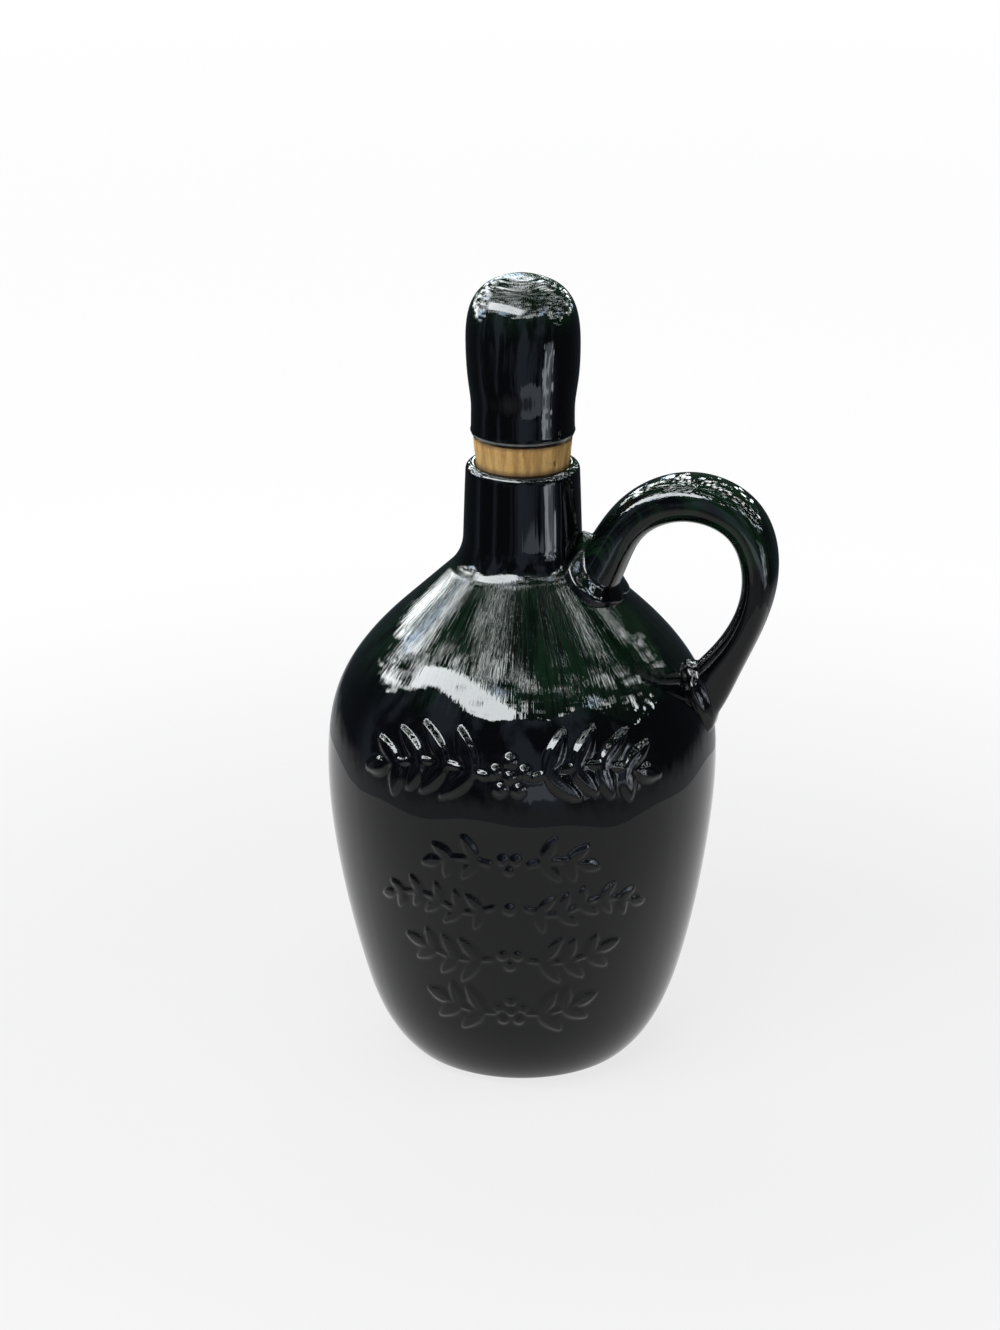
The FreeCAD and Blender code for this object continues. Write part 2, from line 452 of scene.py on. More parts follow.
class Value:
    """A number in a shader. Sums and products of it add the Math nodes that work them out."""

    def __init__(self, shader: "Shader", socket: bpy.types.NodeSocket) -> None:
        """Wraps a socket of a shader."""
        self.shader = shader
        self.socket = socket

    def math(self, operation: str, *others: "Value | float") -> "Value":
        """The result of a Math node on this value.

        Args:
            operation: The node's operation.
            others: Its further inputs.

        Returns:
            The result.
        """
        inputs = {index + 1: other for index, other in enumerate(others)}
        node = self.shader.node("ShaderNodeMath", {"operation": operation}, {0: self, **inputs})
        return Value(self.shader, node.outputs[0])

    def __add__(self, other: "Value | float") -> "Value":
        """This value and another."""
        return self.math("ADD", other)

    __radd__ = __add__

    def __mul__(self, other: "Value | float") -> "Value":
        """This value times another."""
        return self.math("MULTIPLY", other)

    __rmul__ = __mul__

    def __sub__(self, other: "Value | float") -> "Value":
        """This value less another."""
        return self.math("SUBTRACT", other)

    def __rsub__(self, other: float) -> "Value":
        """A number less this value."""
        return self.math("MULTIPLY_ADD", -1.0, other)

    def __truediv__(self, other: "Value | float") -> "Value":
        """This value over another."""
        return self.math("DIVIDE", other)

    def __rtruediv__(self, other: float) -> "Value":
        """A number over this value."""
        return self.math("POWER", -1.0) * other


class Shader:
    """The nodes of a material or of the world."""

    def __init__(self, name: str, world: bpy.types.World | None = None) -> None:
        """Starts with no nodes.

        Args:
            name: The new material's name.
            world: The world, where the nodes are its own.
        """
        self.material = world or bpy.data.materials.new(name)
        self.material.use_nodes = True
        self.tree = self.material.node_tree
        self.tree.nodes.clear()

    def node(
        self,
        kind: str,
        settings: dict[str, object] | None = None,
        inputs: dict[str | int, object] | None = None,
    ) -> bpy.types.Node:
        """Adds a node.

        Args:
            kind: The node's type.
            settings: Its properties, which are set first.
            inputs: A value or a link for each input, by name or place.

        Returns:
            The node.
        """
        made = self.tree.nodes.new(kind)
        for name, setting in (settings or {}).items():
            setattr(made, name, setting)
        for name, given in (inputs or {}).items():
            given = given.socket if isinstance(given, Value) else given
            if isinstance(given, bpy.types.NodeSocket):
                self.tree.links.new(given, made.inputs[name])
            else:
                made.inputs[name].default_value = given
        return made

    def value(self, node: bpy.types.Node, output: str | int = 0) -> Value:
        """An output of a node as a value."""
        return Value(self, node.outputs[output])

    def place(self) -> tuple[Value, Value, Value]:
        """The point's own place on the object, in metres.

        Returns:
            Its x, y and z.
        """
        where = self.node("ShaderNodeTexCoord").outputs["Object"]
        split = self.node("ShaderNodeSeparateXYZ", inputs={0: where})
        return self.value(split, 0), self.value(split, 1), self.value(split, 2)

    def watched(self) -> Value:
        """1 for what the camera sees straight, by a reflection or through glass, and 0 for light.

        Returns:
            The value.
        """
        path = self.node("ShaderNodeLightPath")
        seen = self.value(path, "Is Camera Ray").math("MAXIMUM", self.value(path, "Is Glossy Ray"))
        return seen.math("MAXIMUM", self.value(path, "Is Transmission Ray"))

    def vector(self, x: Value | float, y: Value | float, z: Value | float) -> bpy.types.NodeSocket:
        """Three values as a vector."""
        return self.node("ShaderNodeCombineXYZ", inputs={0: x, 1: y, 2: z}).outputs[0]

    def noise(self, where: bpy.types.NodeSocket, scale: float, detail: float = 2.0) -> Value:
        """Smooth noise between 0 and 1.

        Args:
            where: The vector that it follows.
            scale: How fine it is.
            detail: How many finer layers are in it.

        Returns:
            The noise.
        """
        node = self.node("ShaderNodeTexNoise", inputs={"Vector": where, "Scale": scale, "Detail": detail})
        return self.value(node, 0)

    def rise(self, value: Value, low: float, high: float) -> Value:
        """A soft step from 0 to 1 as a value goes from low to high, or down when they are swapped.

        Args:
            value: The value.
            low: Where the step is 0.
            high: Where the step is 1.

        Returns:
            The step.
        """
        swapped = low > high
        ends = {1: high, 2: low, 3: 1.0, 4: 0.0} if swapped else {1: low, 2: high, 3: 0.0, 4: 1.0}
        node = self.node("ShaderNodeMapRange", {"interpolation_type": "SMOOTHSTEP"}, {0: value, **ends})
        return self.value(node, 0)

    def mixed(self, share: Value, first: object, second: object) -> bpy.types.NodeSocket:
        """Two colours mixed.

        Args:
            share: The second colour's share.
            first: A colour or a colour's socket.
            second: A colour or a colour's socket.

        Returns:
            The mixture.
        """
        ends = [(*given, 1.0) if isinstance(given, tuple) else given for given in (first, second)]
        inputs = {0: share, 6: ends[0], 7: ends[1]}
        return self.node("ShaderNodeMix", {"data_type": "RGBA"}, inputs).outputs[2]

    def surface(self, relief: Value, height_mm: float, inputs: dict[str, object]) -> bpy.types.Material:
        """Ends the material in one surface with a fine relief.

        Args:
            relief: The relief, where 1 stands for its full height.
            height_mm: That height.
            inputs: The surface's inputs.

        Returns:
            The material.
        """
        slight = {"Strength": 1.0, "Distance": height_mm * MM, "Height": relief}
        bump = self.node("ShaderNodeBump", inputs=slight)
        surface = self.node("ShaderNodeBsdfPrincipled", inputs={**inputs, "Normal": bump.outputs[0]})
        self.node("ShaderNodeOutputMaterial", inputs={0: surface.outputs[0]})
        return self.material

    def blend(
        self,
        share: Value | float,
        first: bpy.types.Node,
        second: bpy.types.Node,
        output: str = "ShaderNodeOutputMaterial",
    ) -> None:
        """Ends in a mixture of two shader nodes.

        Args:
            share: The second one's share.
            first: The first shader node.
            second: The second shader node.
            output: The type of the output node.
        """
        inputs = {0: share, 1: first.outputs[0], 2: second.outputs[0]}
        mix = self.node("ShaderNodeMixShader", inputs=inputs)
        self.node(output, inputs={0: mix.outputs[0]})


def from_axis(x: Value, y: Value) -> Value:
    """The distance of a place from the wheel axis."""
    return (x * x + y * y).math("SQRT")


def toward(x: Value, y: Value, azimuth_deg: float) -> Value:
    """How far a place lies from the wheel axis towards an azimuth."""
    azimuth = math.radians(azimuth_deg)
    return x * math.cos(azimuth) + y * math.sin(azimuth)


def spread(noise: Value, width: float) -> Value:
    """Noise moved to lie evenly about 0, over a width."""
    return (noise - 0.5) * width


@dataclass(frozen=True)
class BlackGlaze:
    """Thick black glaze, with a painted reflection of green foliage in streaks over the shoulder and a
    painted highlight line.
    """

    name: str
    streak_low: float
    streak_high: float
    streak_strength: float = 1.45
    streak_fade_low: float = 12.0
    streak_fade_high: float = 6.0
    streak_climb: float = 1.6
    # Painted highlight: a pale grey line painted into the base colour at this height.
    highlight_height: float = 0.0
    highlight_core: float = 0.2
    highlight_width: float = 0.75
    highlight_wander: float = 0.4
    painted_rim_highlight: Colour = (0.17, 0.18, 0.17)
    black: Colour = (0.0016, 0.0019, 0.0026)
    # Painted reflection: the green of mirrored foliage, painted into the base colour in streaks.
    green: Colour = (0.0048, 0.0150, 0.0075)
    green_rise: Span = (0.40, 0.60)
    green_runs: float = 0.7
    green_clouds: float = 0.3
    roughness: float = 0.006
    roughness_spread: float = 0.014
    index: float = 1.33
    relief_mm: float = 0.05
    swell_share: float = 0.35
    peel_share: float = 0.018
    runs: Grain = (54.0, 2.5)
    clouds: Grain = (38.0, 2.0)
    swell: Grain = (70.0, 1.0)
    peel: Grain = (420.0, 1.0)

    def build(self) -> bpy.types.Material:
        """The glaze's material.

        Returns:
            The material.
        """
        shader = Shader(self.name)
        x, y, z = shader.place()
        radius = from_axis(x, y).math("MAXIMUM", MM)
        around = shader.vector(x / radius, y / radius, z * self.streak_climb)
        where = shader.vector(x, y, z)
        runs = shader.noise(around, *self.runs)
        clouds = shader.noise(where, *self.clouds)
        peel = shader.noise(where, *self.peel)
        swell = shader.noise(where, *self.swell)
        zone = shader.rise(z, self.streak_low * MM, (self.streak_low + self.streak_fade_low) * MM)
        zone = zone * shader.rise(z, self.streak_high * MM, (self.streak_high - self.streak_fade_high) * MM)
        # Painted reflection: mirrored green foliage is painted into the base colour in streaks within the
        # streak zone.
        painted_reflection_pattern = runs * self.green_runs + clouds * self.green_clouds
        green = zone * shader.rise(painted_reflection_pattern, *self.green_rise)
        relief = runs * zone * self.streak_strength + swell * self.swell_share + peel * self.peel_share
        # Painted highlight: the grey line is painted into the base colour round the highlight height.
        from_highlight = (z - self.highlight_height * MM).math("ABSOLUTE") + peel * (self.highlight_wander * MM)
        painted_rim_highlight = shader.rise(from_highlight, self.highlight_width * MM, self.highlight_core * MM)
        colours = {
            "Base Color": shader.mixed(painted_rim_highlight, shader.mixed(green, self.black, self.green), self.painted_rim_highlight),
            "Roughness": clouds * self.roughness_spread + self.roughness,
            "IOR": self.index,
        }
        return shader.surface(relief, self.relief_mm, colours)


@dataclass(frozen=True)
class BareClay:
    """The unglazed clay of the foot ring, rubbed smooth."""

    name: str = "bare_clay"
    pale: Colour = (0.42, 0.33, 0.24)
    dark: Colour = (0.27, 0.20, 0.14)
    grit: Grain = (900.0, 3.0)
    stain: Grain = (90.0, 3.0)
    grit_share: float = 0.4
    stain_share: float = 0.6
    stain_rise: Span = (0.35, 0.65)
    roughness: float = 0.65
    roughness_spread: float = 0.2
    relief_mm: float = 0.08

    def build(self) -> bpy.types.Material:
        """The clay's material.

        Returns:
            The material.
        """
        shader = Shader(self.name)
        where = shader.vector(*shader.place())
        grit = shader.noise(where, *self.grit)
        stain = shader.noise(where, *self.stain)
        darker = shader.rise(stain * self.stain_share + grit * self.grit_share, *self.stain_rise)
        inputs = {
            "Base Color": shader.mixed(darker, self.pale, self.dark),
            "Roughness": grit * self.roughness_spread + self.roughness,
        }
        return shader.surface(grit, self.relief_mm, inputs)


@dataclass(frozen=True)
class Cork:
    """Natural cork, cut smooth, with its grain upright and dark pores in it."""

    name: str = "natural_cork"
    # Painted shade: the cork is darker in bands under the head and where it enters the neck.
    top: float = 203.7
    top_shade_band: float = 1.3
    rim: float = 195.2
    rim_shade_band: float = 1.6
    painted_shade_share: float = 0.6
    pale: Colour = (0.62, 0.375, 0.105)
    tan: Colour = (0.37, 0.195, 0.042)
    dark: Colour = (0.075, 0.034, 0.012)
    bands: Grain = (420.0, 4.0)
    fine: Grain = (1500.0, 3.0)
    pores: Grain = (420.0, 2.0)
    bands_stretch: float = 0.10
    fine_stretch: float = 0.4
    pores_stretch: float = 0.45
    bands_share: float = 0.8
    fine_share: float = 0.2
    bands_rise: Span = (0.40, 0.60)
    fleck_rise: Span = (0.62, 0.78)
    fleck_share: float = 0.55
    pit_rise: Span = (0.66, 0.74)
    pit_share: float = 0.85
    roughness: float = 0.65
    roughness_spread: float = 0.15
    specular: float = 0.2
    bands_relief: float = 0.3
    fine_relief: float = 0.25
    relief_mm: float = 0.25

    def build(self) -> bpy.types.Material:
        """The cork's material.

        Returns:
            The material.
        """
        shader = Shader(self.name)
        x, y, z = shader.place()
        bands = shader.noise(shader.vector(x, y, z * self.bands_stretch), *self.bands)
        fine = shader.noise(shader.vector(x, y, z * self.fine_stretch), *self.fine)
        pores = shader.noise(shader.vector(x, y, z * self.pores_stretch), *self.pores)
        pits = shader.rise(pores, *self.pit_rise)
        grain = shader.rise(bands * self.bands_share + fine * self.fine_share, *self.bands_rise)
        body = shader.mixed(grain, self.tan, self.pale)
        flecked = shader.mixed(shader.rise(fine, *self.fleck_rise) * self.fleck_share, body, self.dark)
        # Painted shade: darker under the head and at the neck's rim.
        painted_shade = shader.rise(z, (self.top - self.top_shade_band) * MM, self.top * MM)
        painted_shade = painted_shade + shader.rise(z, (self.rim + self.rim_shade_band) * MM, self.rim * MM)
        shaded_colour = shader.mixed(painted_shade * self.painted_shade_share, flecked, self.dark)
        inputs = {
            "Base Color": shader.mixed(pits * self.pit_share, shaded_colour, self.dark),
            "Roughness": fine * self.roughness_spread + self.roughness,
            "Specular IOR Level": self.specular,
        }
        relief = bands * self.bands_relief + fine * self.fine_relief - pits
        return shader.surface(relief, self.relief_mm, inputs)


@dataclass(frozen=True)
class SetAdhesive:
    """The hidden adhesive in the stopper's socket."""

    name: str = "set_adhesive"
    pale: Colour = (0.60, 0.53, 0.38)
    dark: Colour = (0.48, 0.42, 0.30)
    mottle: Grain = (300.0, 2.0)
    roughness: float = 0.4
    roughness_spread: float = 0.2
    relief_mm: float = 0.1

    def build(self) -> bpy.types.Material:
        """The adhesive's material.

        Returns:
            The material.
        """
        shader = Shader(self.name)
        mottle = shader.noise(shader.vector(*shader.place()), *self.mottle)
        inputs = {
            "Base Color": shader.mixed(mottle, self.pale, self.dark),
            "Roughness": mottle * self.roughness_spread + self.roughness,
        }
        return shader.surface(mottle, self.relief_mm, inputs)


# The raised ornament


THICKNESS_SHARES = {Motif.LEAF: 0.95, Motif.STEM: 0.7, Motif.BERRY: 1.0}
LEAF_END_SHARE = 0.30
LEAF_BULGE = 0.8
GROOVE_DEPTH = 0.25
GROOVE_WIDTH = 0.55
EDGE_STEEPNESS = 2.6
EDGE_SOFTNESS = 1.6


@dataclass(frozen=True)
class Stroke:
    """One pad or roll of clay pressed on to the wall, in arc length and height."""

    motif: Motif
    start: Point
    end: Point
    half_width: float

    def height(self, across: np.ndarray, up: np.ndarray, thickness: float) -> np.ndarray:
        """How far the stroke stands off the wall.

        Args:
            across: Distance round the wall of each point.
            up: Height of each point.
            thickness: The full thickness of a berry.

        Returns:
            The height at each point.
        """
        start, end = np.array(self.start), np.array(self.end)
        run = end - start
        length = max(float(run @ run), TINY)
        share = np.clip(((across - start[0]) * run[0] + (up - start[1]) * run[1]) / length, 0, 1)
        away = np.hypot(across - start[0] - share * run[0], up - start[1] - share * run[1])
        width = np.full_like(away, self.half_width)
        groove = 0.0
        if self.motif is Motif.LEAF:
            bulge = np.sin(np.pi * share**LEAF_BULGE) ** LEAF_BULGE
            width *= LEAF_END_SHARE + (1 - LEAF_END_SHARE) * bulge
            groove = GROOVE_DEPTH * np.exp(-((away / GROOVE_WIDTH) ** 2))
        form = (1 - np.clip(away / width, 0, 1) ** EDGE_STEEPNESS) ** EDGE_SOFTNESS
        return thickness * THICKNESS_SHARES[self.motif] * form * (1 - groove)


@dataclass(frozen=True)
class Row:
    """One row of the ornament: a branch to each side, and a bunch of berries between them."""

    stem: tuple[Point, ...]
    pairs: int
    leaf_length: float
    leaf_half_width: float
    bunch: tuple[Point, ...]
    bunch_height: float
    berry_radius: float


SINGLE = ((0.0, 0.0),)
TRIO = ((-1.0, 0.5), (1.0, 0.5), (0.0, -1.2))
RING = ((0.0, 2.0), (-1.9, 0.6), (1.9, 0.6), (-1.2, -1.6), (1.2, -1.6), (0.0, 0.0))
ROWS = (
    Row(((7, 115), (24, 117.5), (41, 113)), 4, 12.5, 3.3, RING, 115, 2.3),
    Row(((6, 86.5), (14, 88), (22, 86)), 2, 8.0, 2.4, TRIO, 87, 2.0),
    Row(((5, 71.5), (14, 69), (27, 73), (39, 70)), 5, 7.4, 2.1, SINGLE, 71, 2.3),
    Row(((6, 52.5), (17, 51.5), (28, 54)), 3, 9.4, 2.6, TRIO, 53, 2.2),
    Row(((5, 32), (12, 32), (20, 34.5)), 2, 10.0, 3.0, RING, 32.5, 2.0),
)


@dataclass
class Garlands:
    """Five rows of hand-modelled leaves, stems and berries on the front of the belly."""

    rows: tuple[Row, ...] = ROWS
    thickness: float = 1.5
    low_share: float = 0.62
    low_top: float = 98.0
    stem_half_width: float = 1.2
    leaf_dwindle: float = 0.3
    leaf_sizes: Span = (0.93, 1.07)
    leaf_angles: Span = (50.0, 62.0)
    tip_share: float = 0.75
    berry_fullness: float = 1.1
    berry_roll: float = 0.01
    strokes: list[Stroke] = field(default_factory=list)
    hand: np.random.Generator = field(default_factory=lambda: np.random.default_rng(LEAF_SEED))

    def leaf(self, root: Point, angle_deg: float, length: float, half_width: float) -> None:
        """Adds a leaf.

        Args:
            root: Where it grows from.
            angle_deg: Its direction, from the right and upwards.
            length: Its length.
            half_width: Half its width.
        """
        angle = math.radians(angle_deg)
        tip = (root[0] + math.cos(angle) * length, root[1] + math.sin(angle) * length)
        self.strokes.append(Stroke(Motif.LEAF, root, tip, half_width))

    def branch(self, row: Row, side: int) -> None:
        """Adds a row's stem on one side, with leaves on both sides of it and one at its tip.

        Args:
            row: The row.
            side: 1 for the right and -1 for the left.
        """
        spline = Spline(np.array([(side * across, up) for across, up in row.stem]))
        stations = spline.at(np.linspace(0, spline.length, 2 * row.pairs + 1))
        for before, after in zip(stations, stations[1:]):
            self.strokes.append(Stroke(Motif.STEM, tuple(before), tuple(after), self.stem_half_width))
        for index in range(row.pairs):
            here, ahead = stations[2 * index + 1], stations[2 * index + 2]
            heading = math.degrees(math.atan2(ahead[1] - here[1], ahead[0] - here[0]))
            fullness = row.leaf_length * (1.0 - self.leaf_dwindle * index / row.pairs)
            for way in (1, -1):
                size = fullness * self.hand.uniform(*self.leaf_sizes)
                angle = heading + way * self.hand.uniform(*self.leaf_angles)
                self.leaf(tuple(here), angle, size, row.leaf_half_width)
        along = stations[-1] - stations[-2]
        heading = math.degrees(math.atan2(along[1], along[0]))
        self.leaf(tuple(stations[-1]), heading, row.leaf_length * self.tip_share, row.leaf_half_width)

    def berries(self, row: Row) -> None:
        """Adds a row's bunch of berries.

        Args:
            row: The row.
        """
        for across, up in row.bunch:
            spot = (across * row.berry_radius, row.bunch_height + up * row.berry_radius)
            beside = (spot[0] + self.berry_roll, spot[1])
            self.strokes.append(Stroke(Motif.BERRY, spot, beside, row.berry_radius * self.berry_fullness))

    def model(self) -> None:
        """Lays out the rows, from the top one down."""
        for side in (1, -1):
            for row in self.rows:
                self.branch(row, side)
        for row in self.rows:
            self.berries(row)

    def height(self, across: np.ndarray, up: np.ndarray) -> np.ndarray:
        """How far the ornament stands off the wall.

        Args:
            across: Distance round the wall of each point, from the ornament's middle.
            up: Height of each point.

        Returns:
            The height at each point.
        """
        total = np.zeros_like(across)
        for stroke in self.strokes:
            total = np.maximum(total, stroke.height(across, up, self.thickness))
        return total * np.where(up > self.low_top, 1.0, self.low_share)


# The pieces


@dataclass
class JugWall:
    """The turned jug: foot ring, wall, shoulder, neck, cork seat and cavity."""

    foot_radius: float = 32.0
    ring_width: float = 6.0
    recess: float = 1.6
    bevel: float = 2.4
    foot_round: float = 8.0
    foot_lean: float = 45.0
    wall_points: tuple[Point, ...] = ((52.1, 33.0), (58.9, 66.0), (61.8, 97.0), (58.0, 122.0), (49.4, 136.0))
    shoulder: Point = (38.2, 147.6)
    shoulder_lean: float = -47.5
    neck_base_radius: float = 18.8
    neck_top: Point = (17.6, 195.2)
    neck_round: float = 15.0
    lip_outer_round: float = 2.2
    lip_inner_round: float = 0.6
    seat_bottom: Point = (12.5, 171.7)
    seat_round: float = 12.0
    mouth_radius: float = 14.63
    wall: float = 5.0
    floor: float = 7.0
    floor_round: float = 9.0
    cavity_from: float = 17.0
    cavity_thinning: int = 5
    spacing: float = 0.75
    under_spacing: float = 4.0
    inside_spacing: float = 2.5
    panel_azimuth: float = -81.6
    panel_arc: float = 104.0
    panel_margin: float = 2.0
    panel_top: float = 132.0
    panel_steps: int = 22
    rear_steps: int = 9
    lump: float = 0.16
    lump_waves: tuple[Wave, ...] = ((1.0, 2, 31, 0.7), (0.7, 3, -19, 2.1), (0.5, 5, 12, 4.0))
    lump_rise: Span = (6.0, 26.0)
    lump_fall: Span = (185.0, 165.0)
    skin_depth: float = 0.05
    skin_from: float = 2.0
    climb_from: float = 1.0
    ring_depth: float = 0.4
    finish: BlackGlaze = BlackGlaze("black_glaze", streak_low=127.0, streak_high=167.0)
    ring_finish: BareClay = BareClay()

    def __post_init__(self) -> None:
        """Draws the outside of the profile."""
        self.outside = self.draw_outside()
        self.surface = Turned(self.outside.array())

    def shoulder_climb(self, radius: float, end_radius: float) -> float:
        """How far the shoulder's slope climbs from one radius in to another."""
        return (radius - end_radius) / math.tan(math.radians(-self.shoulder_lean))

    def draw_outside(self) -> Outline:
        """The profile's outside, from the axis below to the top of the neck.

        Returns:
            The profile.
        """
        ring_inner = self.foot_radius - self.ring_width
        outline = Outline(0, self.recess, self.under_spacing)
        outline.line(ring_inner - self.bevel, self.recess)
        outline.line(ring_inner, 0)
        outline.spacing = self.spacing
        outline.line(self.foot_radius, 0)
        outline.arc((self.foot_radius, self.foot_round), self.foot_round, -90, -self.foot_lean)
        through = [*self.wall_points, self.shoulder]
        outline.curve(through, leaning(self.foot_lean), leaning(self.shoulder_lean))
        climb = self.shoulder_climb(self.shoulder[0], self.neck_base_radius)
        outline.rounded((self.neck_base_radius, self.shoulder[1] + climb), self.neck_top, self.neck_round)
        outline.rounded(self.neck_top, (self.mouth_radius, self.neck_top[1]), self.lip_outer_round)
        return outline

    def profile(self) -> np.ndarray:
        """The whole profile, from the axis under the foot to the axis on the floor inside.

        Returns:
            Radius and height of its points.
        """
        outside = self.outside.array()
        outline = Outline(*outside[-1], self.inside_spacing)
        outline.rounded((self.mouth_radius, self.neck_top[1]), self.seat_bottom, self.lip_inner_round)
        outline.line(*self.seat_bottom)
        belly = outside[(outside[:, 1] > self.cavity_from) & (outside[:, 1] < self.shoulder[1])]
        inner = inset(belly, self.wall)[:: -self.cavity_thinning]
        climb = self.shoulder_climb(inner[0][0], self.seat_bottom[0])
        outline.rounded((self.seat_bottom[0], inner[0][1] + climb), tuple(inner[0]), self.seat_round)
        outline.points += list(inner)
        away = inner[-1] - inner[-2]
        corner = inner[-1] + away * (self.floor - inner[-1][1]) / away[1]
        outline.rounded(tuple(corner), (0, self.floor), self.floor_round)
        outline.line(0, self.floor)
        return np.concatenate([outside, np.array(outline.points[1:])])

    def raise_ornament(self, mesh: bmesh.types.BMesh, garlands: Garlands) -> None:
        """Moves the front of the wall out along the ornament, and the rest by slight lumps.

        Args:
            mesh: The turned mesh.
            garlands: The ornament.
        """
        radius, azimuth, height = polar(mesh)
        turn = wrapped(azimuth - math.radians(self.panel_azimuth))
        outside = self.outside.array()
        climbing = outside[outside[:, 1] > self.climb_from]
        edge = np.interp(height, climbing[:, 1], climbing[:, 0])
        skin = (np.abs(radius - edge) < self.skin_depth) & (height > self.skin_from)
        fade = ramp(height, *self.lump_rise) * ramp(height, *self.lump_fall)
        move = ripple(azimuth, height, self.lump_waves) * self.lump * fade - self.lump
        move = np.where(fade > 0, move * fade, 0)
        half_panel = math.radians(self.panel_arc / 2 - self.panel_margin)
        front = (np.abs(turn) < half_panel) & (height < self.panel_top)
        ornament = np.zeros(len(radius))
        ornament[front] = garlands.height(turn[front] * radius[front], height[front])
        push(mesh, np.where(skin, move + ornament, 0))

    def build(self, garlands: Garlands) -> bpy.types.Object:
        """Builds and dresses the jug.

        Args:
            garlands: The ornament on its front.

        Returns:
            The piece.
        """
        arcs = [(self.panel_arc, self.panel_steps), (360 - self.panel_arc, self.rear_steps)]
        mesh = spun(self.profile(), arcs, self.panel_azimuth - self.panel_arc / 2)
        self.raise_ornament(mesh, garlands)
        ring_inner = self.foot_radius - self.ring_width
        for face in mesh.faces:
            centre = face.calc_center_median()
            on_ring = centre.z < self.ring_depth and centre.xy.length > ring_inner
            face.material_index = int(on_ring)
        return piece(mesh, "jug_wall", Body.JUG, "jug_body", "glaze", self.finish, self.ring_finish)


